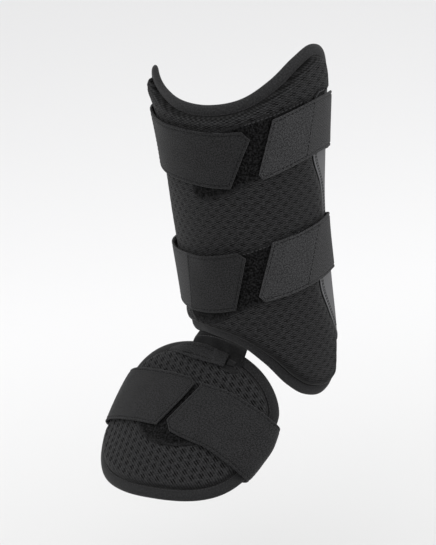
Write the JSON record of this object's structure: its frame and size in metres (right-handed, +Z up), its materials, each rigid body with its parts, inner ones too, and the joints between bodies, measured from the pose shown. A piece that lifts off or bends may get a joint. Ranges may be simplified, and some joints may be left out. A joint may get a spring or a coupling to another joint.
{
  "type": "batter's leg guard",
  "caption": "Padded shin shell with a hanging foot pad, spacer mesh faces, bound edges, and hook-and-loop straps that close round the calf and the foot, worn by a batter.",
  "frame": {"origin": "on the shin pad's inner face, on its front line and near the middle of its height, where it sits on the shin", "axes": "+Z up along the shin, -Y forward out of the shin, +X to the side with the longer wing"},
  "size_m": [0.1975, 0.1712, 0.3321],
  "materials": {
    "pad_lining": "smooth brushed lining, matt",
    "binding": "smooth knitted edging with a soft sheen",
    "spacer_mesh": "open-hole spacer mesh, matt",
    "side_weave": "grey plain weave with dark stitching",
    "loop_fabric": "fuzzy loop pile, very matt",
    "left_tab_fabric": "brushed felt-like knit with stitched hems",
    "right_tab_fabric": "brushed felt-like knit with stitched hems",
    "elastic": "ribbed woven elastic",
    "foot_strap_fabric": "brushed felt-like knit with stitched hems",
    "connector_cloth": "smooth stretch cloth with stitch rows"
  },
  "bodies": {
    "root": {"shin_pad": "pad_lining", "shin_binding": "binding", "shin_mesh_panel": "spacer_mesh", "side_panel": "side_weave", "upper_loop_patch": "loop_fabric", "lower_loop_patch": "loop_fabric", "upper_anchor_patch": "loop_fabric", "upper_right_tab": "right_tab_fabric", "upper_elastic": "elastic", "upper_left_tab": "left_tab_fabric", "lower_right_tab": "right_tab_fabric", "lower_elastic": "elastic", "lower_left_tab": "left_tab_fabric", "foot_pad": "pad_lining", "foot_binding": "binding", "foot_mesh_panel": "spacer_mesh", "foot_loop_patch": "loop_fabric", "foot_strap": "foot_strap_fabric", "ankle_connector": "connector_cloth", "foot_flap": "foot_strap_fabric", "foot_pull_tab": "foot_strap_fabric"}
  },
  "joints": []
}
